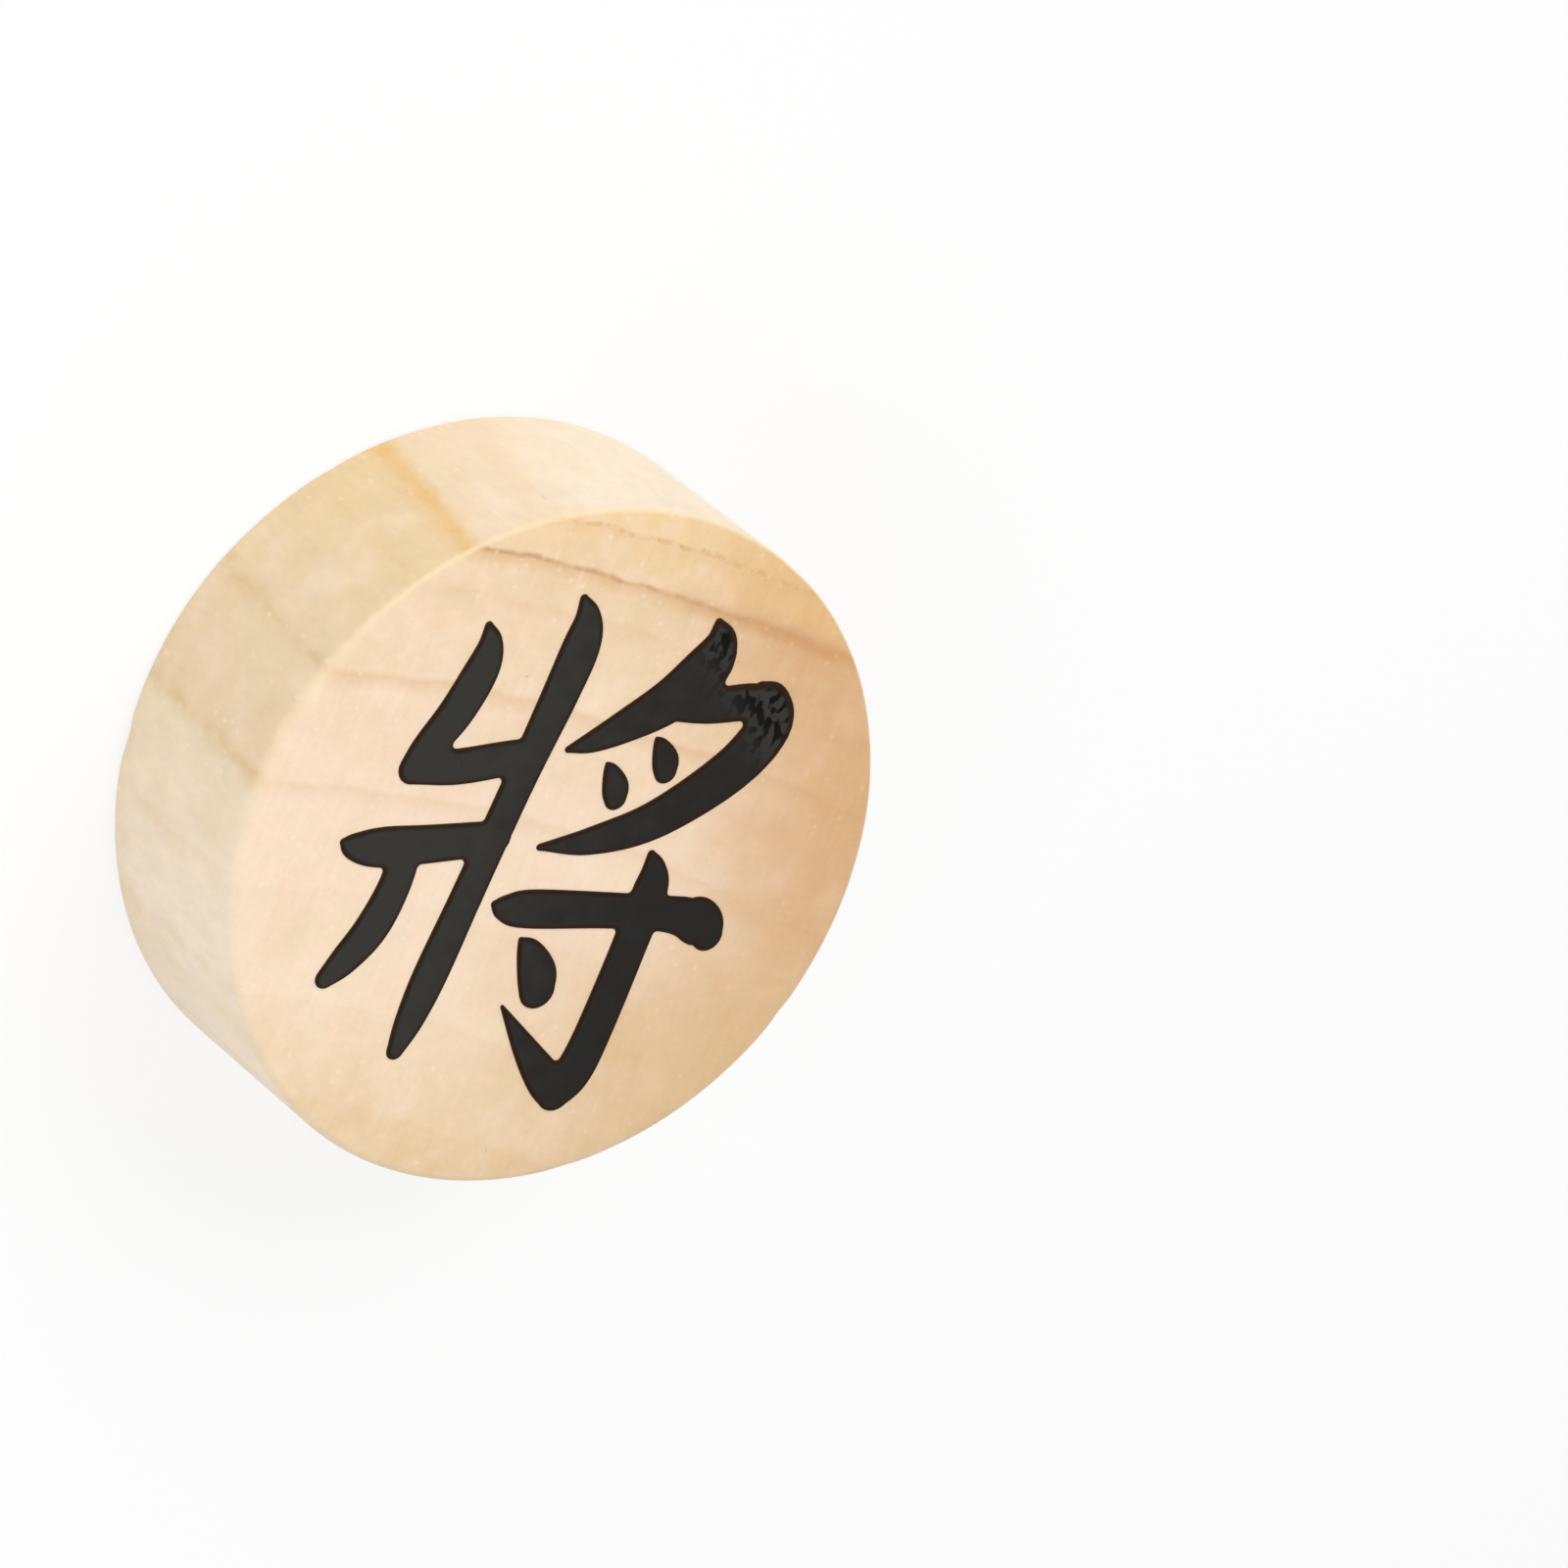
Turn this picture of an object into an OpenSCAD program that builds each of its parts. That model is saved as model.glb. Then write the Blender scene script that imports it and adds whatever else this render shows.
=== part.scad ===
// Xiangqi piece: a turned wooden disc that carries its rank sign in raised black ink.
// The disc lies flat, sign up. The origin is the centre of the underside, +Z is up,
// +Y is the top of the sign and +X its right.

/* [Disc] */
// Diameter of the turned disc
disc_d = 30; // [20:0.5:60]
// Thickness of the disc, underside to face
disc_h = 10; // [6:0.5:24]
// Radius of the rounded edge where the rim meets the face and the underside
edge_r = 0.3; // [0.1:0.05:1.5]

/* [Sign] */
// Bare wood left between the flat face's edge and the circle that holds the sign
border = 2.3; // [1:0.1:5]
// Thickness of the ink film
ink_t = 0.08; // [0.04:0.01:0.3]
// Boldness of the brush, 1 being the drawn weight
brush_weight = 1; // [0.7:0.05:1.2]

/* [Hidden] */

// Colours of the wood and the ink
wood_colour = [0.93, 0.83, 0.68];
ink_colour = [0.15, 0.15, 0.14];

// The sign fills this circle on the flat of the face
sign_r = disc_d / 2 - edge_r - border;

// Fineness of the disc, of each stretch of a stroke, of a stroke's round end and of the ink's corners
disc_fn = 180;
stretch_steps = 8;
cap_steps = 10;
corner_fn = 20;

// Wet ink rounds the tips of the strokes, and fills the notches where they meet
tip_r = 0.007 * sign_r;
notch_r = 0.016 * sign_r;

// Narrowest brush tip, as a share of the sign's radius
tip_w = 0.012;

// Steepest flare of the brush's sides against its path
max_slope = 0.8;

// Each stroke is a list of [x, y, width] stations that the brush passes through.
// They are shares of the sign's radius, from the sign's centre, x right and y up.

// The stand on the left: a short post, the arm it turns into, a lower arm, its leg and a long post
short_post = [
    [-0.60, 0.69, 0.03], [-0.565, 0.625, 0.095], [-0.56, 0.53, 0.14],
    [-0.59, 0.38, 0.145], [-0.64, 0.25, 0.13], [-0.66, 0.17, 0.12]
];
upper_arm = [[-0.65, 0.17, 0.115], [-0.50, 0.205, 0.13], [-0.36, 0.255, 0.13], [-0.25, 0.30, 0.115]];
lower_arm = [
    [-0.81, -0.125, 0.03], [-0.755, -0.13, 0.10], [-0.66, -0.115, 0.145],
    [-0.50, -0.075, 0.14], [-0.25, -0.005, 0.125]
];
leg = [
    [-0.565, -0.10, 0.12], [-0.555, -0.24, 0.13], [-0.575, -0.39, 0.14],
    [-0.625, -0.51, 0.12], [-0.672, -0.59, 0.075]
];
long_post = [
    [-0.285, 0.85, 0.03], [-0.24, 0.785, 0.10], [-0.222, 0.69, 0.15],
    [-0.225, 0.52, 0.15], [-0.245, 0.20, 0.13], [-0.265, -0.20, 0.13],
    [-0.28, -0.50, 0.14], [-0.288, -0.67, 0.115], [-0.296, -0.785, 0.065]
];

// The upper right: a short sweep, and a bar that turns into a long sweep
short_sweep = [
    [0.265, 0.875, 0.03], [0.305, 0.80, 0.13], [0.285, 0.70, 0.195], [0.20, 0.58, 0.175],
    [0.085, 0.475, 0.135], [-0.025, 0.39, 0.085], [-0.11, 0.342, 0.025]
];
turn_bar = [[0.19, 0.565, 0.115], [0.36, 0.592, 0.13], [0.50, 0.632, 0.135], [0.575, 0.638, 0.13]];
long_sweep = [
    [0.535, 0.685, 0.06], [0.595, 0.655, 0.125], [0.623, 0.555, 0.185], [0.54, 0.385, 0.18],
    [0.335, 0.175, 0.15], [0.125, 0.058, 0.105], [-0.065, -0.003, 0.025]
];

// Two small dots between the sweeps
first_dot = [[0.21, 0.445, 0.012], [0.24, 0.42, 0.06], [0.28, 0.375, 0.10], [0.298, 0.34, 0.085]];
second_dot = [[0.06, 0.325, 0.012], [0.09, 0.298, 0.06], [0.13, 0.25, 0.10], [0.148, 0.215, 0.085]];

// The foot on the right: a long bar, its pressed end, a post through it, and the hook at the post's end
long_bar = [
    [-0.145, -0.225, 0.03], [-0.09, -0.228, 0.10], [0.0, -0.215, 0.14], [0.30, -0.165, 0.13],
    [0.50, -0.138, 0.128], [0.60, -0.132, 0.140], [0.67, -0.148, 0.152]
];
bar_press = [[0.60, -0.098, 0.06], [0.65, -0.108, 0.115], [0.692, -0.142, 0.145], [0.722, -0.176, 0.118]];
hook_post = [
    [0.375, 0.055, 0.03], [0.412, -0.005, 0.10], [0.43, -0.09, 0.145], [0.437, -0.30, 0.145],
    [0.435, -0.60, 0.15], [0.42, -0.74, 0.155], [0.385, -0.82, 0.13]
];
hook = [[0.385, -0.82, 0.13], [0.315, -0.775, 0.13], [0.20, -0.69, 0.09], [0.04, -0.56, 0.012]];

// The dot beside the post
lower_dot = [[0.01, -0.325, 0.02], [0.063, -0.362, 0.095], [0.125, -0.43, 0.145], [0.152, -0.483, 0.135]];

// Point at t along the smooth curve from b to c, where a and d are the stations on either side
function curve_point(a, b, c, d, t) =
    0.5 * (2 * b + (c - a) * t + (2 * a - 5 * b + 4 * c - d) * t ^ 2 + (3 * b - a - 3 * c + d) * t ^ 3);

// Stations with one more at each end, mirrored through the end, so the curve starts and stops there
function with_ends(s) =
    let (n = len(s))
    concat([2 * s[0] - s[1]], s, [2 * s[n - 1] - s[n - 2]]);

// The smooth path through all stations of a stroke
function smooth_path(s) =
    let (e = with_ends(s))
    concat(
        [for (i = [1 : len(s) - 1], k = [0 : stretch_steps - 1])
            curve_point(e[i - 1], e[i], e[i + 1], e[i + 2], k / stretch_steps)],
        [s[len(s) - 1]]
    );

// Direction of the path at station i, as an angle
function heading(path, i) =
    let (a = path[max(i - 1, 0)], b = path[min(i + 1, len(path) - 1)])
    atan2(b[1] - a[1], b[0] - a[0]);

// Angle from the path to the brush's side at station i: square to it, leaning back where the brush widens
function side_angle(path, i) =
    let (
        a = path[max(i - 1, 0)],
        b = path[min(i + 1, len(path) - 1)],
        slope = (b[2] - a[2]) / 2 / norm([b[0] - a[0], b[1] - a[1]])
    )
    90 + asin(max(-max_slope, min(max_slope, slope)));

// Point at station i, half the brush's width from the path in the direction of angle
function beside(path, i, angle) =
    let (half_w = max(path[i][2] * brush_weight, tip_w) / 2)
    [path[i][0] + half_w * cos(angle), path[i][1] + half_w * sin(angle)];

// Round end at station i: points on an arc that faces one way and reaches half_a to either side
function round_end(path, i, facing, half_a) =
    [for (k = [1 : cap_steps - 1]) beside(path, i, facing + half_a * (1 - 2 * k / cap_steps))];

// Closed outline of a stroke: its left side, a round end, its right side and a round start
function stroke_outline(s) =
    let (path = smooth_path(s), last = len(path) - 1)
    concat(
        [for (i = [0 : last]) beside(path, i, heading(path, i) + side_angle(path, i))],
        round_end(path, last, heading(path, last), side_angle(path, last)),
        [for (i = [last : -1 : 0]) beside(path, i, heading(path, i) - side_angle(path, i))],
        round_end(path, 0, heading(path, 0) + 180, 180 - side_angle(path, 0))
    );

// A patch of ink on the face, in the shape of one or more strokes that run together.
// Going in by tip_r and out again rounds the tips, going out by notch_r and in again fills the notches.
module ink_patch(strokes) {
    color(ink_colour)
        translate([0, 0, disc_h])
            linear_extrude(ink_t)
                offset(r = -notch_r, $fn = corner_fn)
                    offset(r = tip_r + notch_r, $fn = corner_fn)
                        offset(r = -tip_r, $fn = corner_fn)
                            for (s = strokes)
                                polygon(sign_r * stroke_outline(s));
}

// Half section of the disc: a rectangle on the axis with its two outer corners rounded
module disc_section() {
    rim_r = disc_d / 2;
    square([rim_r - edge_r, disc_h]);
    translate([0, edge_r])
        square([rim_r, disc_h - 2 * edge_r]);
    for (z = [edge_r, disc_h - edge_r])
        translate([rim_r - edge_r, z])
            circle(edge_r);
}

module wood_disc() {
    color(wood_colour)
        rotate_extrude($fn = disc_fn)
            disc_section($fn = 48);
}

module ink_left_stand() {
    ink_patch([short_post, upper_arm, lower_arm, leg, long_post]);
}

module ink_upper_sweeps() {
    ink_patch([short_sweep, turn_bar, long_sweep]);
}

module ink_upper_dots() {
    ink_patch([first_dot, second_dot]);
}

module ink_bar_and_hook() {
    ink_patch([long_bar, bar_press, hook_post, hook]);
}

module ink_lower_dot() {
    ink_patch([lower_dot]);
}

wood_disc();
ink_left_stand();
ink_upper_sweeps();
ink_upper_dots();
ink_bar_and_hook();
ink_lower_dot();
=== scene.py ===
# %% [markdown]
# # A xiangqi piece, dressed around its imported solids
# The piece is a turned disc of pale hardwood that carries its rank sign in thick black ink.
# The solids fix every size and place. What follows only gives them their looks: the grain of
# the wood, its worn edge, and the swell and shine of the ink. The solids are loaded first,
# because everything else is measured from them.

# %% Load the solids
import math

import bpy
import numpy as np
from mathutils import Matrix, Vector
from mathutils.geometry import delaunay_2d_cdt


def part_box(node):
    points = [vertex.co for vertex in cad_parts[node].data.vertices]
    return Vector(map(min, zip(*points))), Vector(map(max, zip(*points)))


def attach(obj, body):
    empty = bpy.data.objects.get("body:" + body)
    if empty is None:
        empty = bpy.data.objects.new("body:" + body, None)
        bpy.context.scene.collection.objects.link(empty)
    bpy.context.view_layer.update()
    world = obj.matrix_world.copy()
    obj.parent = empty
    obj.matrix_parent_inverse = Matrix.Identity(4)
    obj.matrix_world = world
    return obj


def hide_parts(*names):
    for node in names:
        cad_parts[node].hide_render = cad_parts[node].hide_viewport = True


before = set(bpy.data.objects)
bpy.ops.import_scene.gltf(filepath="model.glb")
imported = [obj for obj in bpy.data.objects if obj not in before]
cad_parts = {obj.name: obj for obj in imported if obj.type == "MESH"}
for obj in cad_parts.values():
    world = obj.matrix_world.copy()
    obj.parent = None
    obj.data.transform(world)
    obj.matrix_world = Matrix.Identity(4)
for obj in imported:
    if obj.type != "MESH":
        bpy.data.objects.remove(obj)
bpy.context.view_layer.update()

print("solids:", sorted(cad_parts))

# %% [markdown]
# ## The sizes to work from
# Blender counts in metres, but a maker of such a small thing thinks in millimetres. One named
# factor keeps the two apart. The disc's radius and height are read from its solid, so that the
# dressed piece follows if the solid is ever made to another size.

# %% Measure the disc
MM = 0.001
disc_low, disc_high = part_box("wood_disc")
disc_r = (disc_high.x - disc_low.x) / 2
disc_h = disc_high.z - disc_low.z
face_z = disc_high.z
ink_nodes = sorted(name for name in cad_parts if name.startswith("ink_"))
ink_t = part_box(ink_nodes[0])[1].z - face_z
print(f"disc {2 * disc_r / MM:.2f} mm across, {disc_h / MM:.2f} mm high, ink {ink_t / MM:.3f} mm thick")

# %% [markdown]
# ## From arrays to a mesh
# Every piece here is worked out as whole arrays of points. A single helper turns points and
# faces into a smooth-shaded object that sits at the origin, so its place is in its mesh. It
# can also hang a number on each point, which a material reads later as an attribute.

# %% A helper that makes a piece
def make_piece(name, points, faces, **numbers):
    """Object from an array of points and lists of faces; each extra array becomes a point attribute."""
    mesh = bpy.data.meshes.new(name)
    mesh.from_pydata(points.tolist(), [], faces)
    for label, values in numbers.items():
        layer = mesh.attributes.new(label, "FLOAT", "POINT")
        layer.data.foreach_set("value", np.ascontiguousarray(values, dtype=np.float32).ravel())
    mesh.polygons.foreach_set("use_smooth", np.ones(len(mesh.polygons), dtype=bool))
    mesh.update()
    piece = bpy.data.objects.new(name, mesh)
    bpy.context.scene.collection.objects.link(piece)
    print(f"{name}: {len(mesh.vertices)} points, {len(mesh.polygons)} faces")
    return piece


# %% [markdown]
# ## How round is a turned disc?
# A lathe leaves a true circle, but wood goes on drying: it shrinks most across its layers, so
# the disc ends a few hundredths of a millimetre oval. Sanding by hand then rounds the edge
# more in some places than in others. Both are sums of a few slow waves round the rim. The
# waves only ever take wood away, so the piece stays inside its solid.

# %% Waves round the rim
turn_steps = 720
turn = np.linspace(0, 2 * np.pi, turn_steps, endpoint=False)[:, None]


def waves(angle, *terms):
    """Sum of cosines round the rim; a term is how many in a turn, its size, and its crest in degrees."""
    return sum(size * np.cos(count * (angle - np.radians(crest))) for count, size, crest in terms)


def stretch_of_rim(angle, middle, half_width):
    """A smooth hump, 1 at the middle angle and 0 past half_width to either side, both in degrees."""
    off = np.degrees(np.angle(np.exp(1j * (angle - np.radians(middle)))))
    return np.cos(np.clip(off / half_width, -1, 1) * np.pi / 2) ** 2


drying = waves(turn, (2, 0.030, 0), (3, 0.012, 40), (5, 0.007, 110)) * MM
rim_r = disc_r + drying - drying.max()
print(f"rim radius {rim_r.min() / MM:.3f} to {rim_r.max() / MM:.3f} mm")

# %% [markdown]
# ## The worn edge
# On the real piece a thin bright line runs round the face where the edge catches the light. It
# is not an even line. At the sign's upper left the edge is crisp and bright, further down on the
# left fingers have rubbed it soft, and here and there it has a small dent. So the edge's radius
# is itself a wave round the rim, with a crisp stretch and a rubbed stretch, and a dent is a
# small round hollow pressed into the corner.

# %% Edge radius and dents
edge_r = 0.30 * MM
# Middles of the crisp, the rubbed and the softest stretch, in degrees from the sign's right
crisp_deg, rubbed_deg, soft_deg = 139, 180, 215
# Half widths of the same stretches, and of the painted highlight line on the crisp one
crisp_half, rubbed_half, soft_half, bright_half = 19, 45, 95, 20
uneven = waves(turn, (1, 0.48, soft_deg), (4, 0.07, 20), (9, 0.05, 75), (17, 0.03, 10))
upper_edge = edge_r * (1 + uneven)
upper_edge = upper_edge - 0.06 * MM * stretch_of_rim(turn, crisp_deg, crisp_half)
upper_edge = upper_edge + 0.32 * MM * stretch_of_rim(turn, rubbed_deg, rubbed_half)
lower_edge = edge_r * (1 + waves(turn, (2, 0.12, 60), (5, 0.09, 130), (11, 0.06, 15)))

# Each dent: angle in degrees, its depth and half width in millimetres
upper_dents = [
    (66, 0.03, 0.6), (112, 0.05, 0.35), (171, 0.09, 0.45),
    (228, 0.05, 0.6), (297, 0.025, 0.7), (341, 0.03, 0.5),
]
lower_dents = [(24, 0.08, 0.5), (134, 0.025, 0.7), (188, 0.06, 0.7), (250, 0.07, 0.5)]
print(f"upper edge radius {upper_edge.min() / MM:.2f} to {upper_edge.max() / MM:.2f} mm")


# %% [markdown]
# ## The disc as one surface
# The disc could be the solid itself, with a Bevel modifier for the edge. A surface worked out
# from two numbers gives more: the first is the angle round the axis, the second runs along the
# section, from the middle of the underside, round the rim, to the middle of the face. Each
# stretch of that section is a short formula, and the stretches are laid side by side. Two more
# numbers go with each point: how pale its edge is painted, partly for handling wear and partly
# as a painted highlight, and how much end grain it shows.
# numbers go with each point: how rubbed it looks, and how much end grain it shows.

# %% Section stretches
hub_share = 0.04
edge_drop = 0.03 * MM


def shares(count):
    """Evenly spaced shares of a stretch, from 0 up to but not including 1."""
    return np.linspace(0, 1, count, endpoint=False)[None, :]


def upper_wear_and_highlight(bend):
    """How pale the upper corner is painted, partly handling wear and partly a painted highlight: a bright
    ridge in the middle of the bend, brightest on the crisp stretch, or a faint haze towards the face on
    the soft side of the rim, whichever is more."""
    ridge = np.sin(2 * bend) ** 3 * (0.45 + 0.55 * stretch_of_rim(turn, crisp_deg, bright_half))
    haze = 0.30 * stretch_of_rim(turn, soft_deg, soft_half) * np.sin(bend) ** 2
    return np.maximum(ridge, haze)


def disc_section(rim, low, high, height):
    """Radius, height, edge paleness (handling wear with a painted highlight) and share of end grain of
    every point. Underside and face are straight runs that fall away a little outwards, the corners are
    quarter circles of radius low and high, and the rim is straight."""
    flat, corner, side = shares(18), shares(12), shares(48)
    bend = corner * np.pi / 2
    even = np.ones_like(rim)
    out = hub_share + (1 - hub_share) * flat
    fall = edge_drop * out ** 10
    radius = [
        (rim - low) * out,
        rim - low + low * np.sin(bend),
        rim * np.ones_like(side),
        rim - high + high * np.cos(bend),
        (rim - high) * out[:, ::-1],
    ]
    rise = [
        fall * even,
        edge_drop + (low - edge_drop) * (1 - np.cos(bend)),
        low + (height - low - high) * side,
        height - high + (high - edge_drop) * np.sin(bend),
        height - fall[:, ::-1] * even,
    ]
    # The corners carry a pale ridge: handling wear together with a painted highlight along the edge.
    wear = [0 * out, np.sin(2 * bend) ** 3, 0 * side, upper_wear_and_highlight(bend), 0 * out]
    end_grain = [1 + 0 * out, np.cos(bend) ** 2, 0 * side, np.sin(bend) ** 2, 1 + 0 * out]
    return (np.concatenate([a * even for a in parts], axis=1) for parts in (radius, rise, wear, end_grain))


radius, rise, wear, end_grain = disc_section(rim_r, lower_edge, upper_edge, disc_h)
print(f"section of {radius.shape[1]} points, turned through {radius.shape[0]} steps")


# %% [markdown]
# ## Press in the dents
# A dent pulls the points of the corner towards the middle of the disc. Its depth falls off like
# a bell, both round the rim and down the section, so no dent has a hard outline.

# %% Dents
dent_reach = 0.45 * MM


def press_dents(radius, rise, dents, corner_r, corner_z, inward):
    """Moves points near each dent in and towards the disc: depth times a bell of the distance along the rim
    times a bell of the distance from the corner's middle."""
    from_corner = np.hypot(radius - corner_r, rise - corner_z)
    for where, depth, half_width in dents:
        along = np.angle(np.exp(1j * (turn - np.radians(where)))) * disc_r
        bell = np.exp(-((along / (half_width * MM)) ** 2)) * np.exp(-((from_corner / dent_reach) ** 2))
        radius = radius - depth * MM * bell
        rise = rise + inward * depth * MM * bell
    return radius, rise


radius, rise = press_dents(radius, rise, upper_dents, disc_r, disc_h, -1)
radius, rise = press_dents(radius, rise, lower_dents, disc_r, 0.0, 1)
print(f"{len(upper_dents) + len(lower_dents)} dents pressed in")


# %% [markdown]
# ## Close the surface
# The grid wraps round on itself in one direction. In the other it ends in two small rings, one
# round the middle of each face, and each is closed by a fan of triangles to a single point.
# Faces run so that their front is outside.

# %% Build the disc
def wrapped_faces(turns, rows):
    """Quads between neighbours on a grid that closes on itself round the axis, and a fan at either end."""
    here = np.arange(turns)[:, None]
    there = (here + 1) % turns
    row = np.arange(rows - 1)[None, :]
    ring, next_ring = here * rows + row, there * rows + row
    quads = np.stack([ring, next_ring, next_ring + 1, ring + 1], axis=-1)
    below, above = turns * rows, turns * rows + 1
    here, there = here[:, 0] * rows, there[:, 0] * rows
    low_fan = np.stack([there, here, np.full(turns, below)], axis=-1)
    high_fan = np.stack([here + rows - 1, there + rows - 1, np.full(turns, above)], axis=-1)
    return quads.reshape(-1, 4).tolist() + low_fan.tolist() + high_fan.tolist()


disc_points = np.stack([radius * np.cos(turn), radius * np.sin(turn), rise], axis=-1).reshape(-1, 3)
disc_points = np.vstack([disc_points, [[0, 0, 0], [0, 0, disc_h]]])
disc_wear_and_highlight = np.append(wear.ravel(), [0, 0])
disc_end_grain = np.append(end_grain.ravel(), [1, 1])
disc_faces = wrapped_faces(*radius.shape)
disc = make_piece("turned_disc", disc_points, disc_faces, edge_wear=disc_wear_and_highlight, end_grain=disc_end_grain)
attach(disc, "root")
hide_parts("wood_disc")


# %% [markdown]
# ## Nodes in plain words
# A material is a graph of small steps. These helpers add one step each and hand back its
# output, so that a finish can be read like a recipe. Colours are written as a picture program
# shows them, 0 to 255, and turned into the linear light that shaders count in.

# %% Helpers for materials
def srgb(red, green, blue):
    """Picture colour to linear light: a short straight piece near black, then a power of 2.4."""
    c = np.array([red, green, blue]) / 255
    linear = np.where(c <= 0.04045, c / 12.92, ((c + 0.055) / 1.055) ** 2.4)
    return (*linear.tolist(), 1.0)


def step(tree, kind, inputs, output=0, **settings):
    """One node: sets its settings, then sets or links each input, and hands back one output."""
    node = tree.nodes.new(kind)
    for name, value in settings.items():
        setattr(node, name, value)
    for socket, value in inputs.items():
        if isinstance(value, bpy.types.NodeSocket):
            tree.links.new(value, node.inputs[socket])
        else:
            node.inputs[socket].default_value = value
    return node.outputs[output]


def calc(tree, operation, a, b=0.0):
    """Arithmetic on two numbers."""
    return step(tree, "ShaderNodeMath", {0: a, 1: b}, operation=operation)


def product(tree, first, *others):
    """All the values multiplied together."""
    for other in others:
        first = calc(tree, "MULTIPLY", first, other)
    return first


def total(tree, first, *others):
    """All the values added together."""
    for other in others:
        first = calc(tree, "ADD", first, other)
    return first


def weighed(tree, value, weight, middle=0.5):
    """A value less its middle, times a weight: noise round 0.5 then swings to either side of nothing."""
    return calc(tree, "MULTIPLY", calc(tree, "SUBTRACT", value, middle), weight)


def stretched(tree, where, across, along, up):
    """Coordinates multiplied by a number for each direction, which draws a pattern out or packs it."""
    return step(tree, "ShaderNodeVectorMath", {0: where, 1: (across, along, up)}, operation="MULTIPLY")


def noise(tree, where, detail=2.0, roughness=0.5):
    """Cloudy noise with one cloud for each unit of the coordinates."""
    inputs = {"Vector": where, "Scale": 1.0, "Detail": detail, "Roughness": roughness}
    return step(tree, "ShaderNodeTexNoise", inputs)


def span(tree, value, low, high, to_low=0.0, to_high=1.0):
    """Maps low to high onto to_low to to_high, eased at both ends and held beyond them."""
    inputs = {"Value": value, "From Min": low, "From Max": high, "To Min": to_low, "To Max": to_high}
    return step(tree, "ShaderNodeMapRange", inputs, interpolation_type="SMOOTHSTEP")


def tint(tree, share, under, over, how="MIX"):
    """One colour laid over another by a share from 0 to 1."""
    inputs = {0: share, 6: under, 7: over}
    return step(tree, "ShaderNodeMix", inputs, output=2, data_type="RGBA", blend_type=how)


def start_material(name):
    """An empty material with one principled shader: (material, its tree, the shader)."""
    material = bpy.data.materials.new(name)
    material.use_nodes = True
    tree = material.node_tree
    return material, tree, tree.nodes["Principled BSDF"]


print("material helpers ready")

# %% [markdown]
# ## Where the wood grew
# The disc is a slice across the stem, so the fibres run along its axis and the face shows end
# grain. The layers on the face are almost straight, which means that the middle of the tree
# was far away: more than eighty millimetres below the sign. The stem also leans a few degrees
# against the disc's axis, which is why the lines on the rim are not quite upright. Distance
# from that leaning middle gives one number for each point, its growth layer, and the same
# number serves face, edge and rim, so the lines meet at the corner as they do in real wood.

# %% Growth layers
wood, wood_tree, wood_shader = start_material("pale_hardwood")
pith_mm = (-4.5, -84.4)
stem_lean = math.radians(-3.9)

object_place = step(wood_tree, "ShaderNodeTexCoord", {}, output="Object")
wood_mm = stretched(wood_tree, object_place, 1 / MM, 1 / MM, 1 / MM)
stem_middle = (-pith_mm[0], -pith_mm[1] + disc_h / MM * math.sin(stem_lean), 0)
stem_inputs = {"Vector": wood_mm, "Location": stem_middle, "Rotation": (stem_lean, 0, 0)}
stem_place = step(wood_tree, "ShaderNodeMapping", stem_inputs)
across_stem = stretched(wood_tree, stem_place, 1, 1, 0)
from_pith = step(wood_tree, "ShaderNodeVectorMath", {0: across_stem}, output="Value", operation="LENGTH")
print(f"stem {-pith_mm[1]:.0f} mm below the sign, leaning {math.degrees(-stem_lean):.1f} degrees")

# %% [markdown]
# ## Layers that wander
# No layer is a true circle. Slow noise bends the layers by some tenths of a millimetre and fine
# noise ruffles them. On the rim, where they are cut lengthwise, they wander a little more. How
# much end grain a point shows came with the surface as an attribute, 1 on the faces and 0 on
# the rim, and tells the two apart.

# %% Wandering layers
end_share = step(wood_tree, "ShaderNodeAttribute", {}, output="Fac", attribute_name="end_grain")
rim_share = calc(wood_tree, "SUBTRACT", 1.0, end_share)
slow_wander = noise(wood_tree, stretched(wood_tree, wood_mm, 0.14, 0.14, 0.03))
fine_wander = noise(wood_tree, stretched(wood_tree, wood_mm, 0.7, 0.7, 0.22), detail=3.0)
rim_wander = noise(wood_tree, stretched(wood_tree, wood_mm, 0.8, 0.8, 0.5), detail=4.0)
rim_wander = product(wood_tree, weighed(wood_tree, rim_wander, 0.6), rim_share)
wander = total(
    wood_tree, weighed(wood_tree, slow_wander, 1.1), weighed(wood_tree, fine_wander, 0.34), rim_wander
)
layer = total(wood_tree, from_pith, pith_mm[1], wander)
print("layers bend, ruffle, and wander on the rim")

# %% [markdown]
# ## The year lines
# Each year's wood darkens slowly towards its end and then stops short where the next spring
# begins. So a year line has one soft side and one sharp side. A colour ramp can hold that: for
# each line three stops, where the darkening begins, where it peaks, and just past it. One line
# near the top of the face is strong and the others are faint. On the rim the same lines are
# softer and patchy, because there they are cut lengthwise. Only the strong one is whole there.

# %% Year lines on a ramp
half_span_mm = 16.0
face_sharp_mm, rim_sharp_mm = 0.16, 0.42
# Each line: its layer in millimetres from the disc's middle, its strength, how far the darkening reaches
face_lines = [
    (-12.6, 0.12, 1.8), (-8.4, 0.08, 2.0), (-3.7, 0.07, 1.8), (0.9, 0.20, 0.9),
    (5.9, 0.36, 0.7), (9.8, 0.14, 0.6), (11.65, 0.60, 0.68), (13.55, 0.22, 0.6),
]
rim_lines = [
    (-12.6, 0.18, 1.2), (-8.4, 0.22, 1.0), (-3.7, 0.20, 0.9), (0.9, 0.75, 0.9),
    (5.9, 0.65, 0.8), (9.8, 0.20, 0.6), (11.50, 0.95, 0.62), (13.55, 0.14, 0.6),
]


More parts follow.
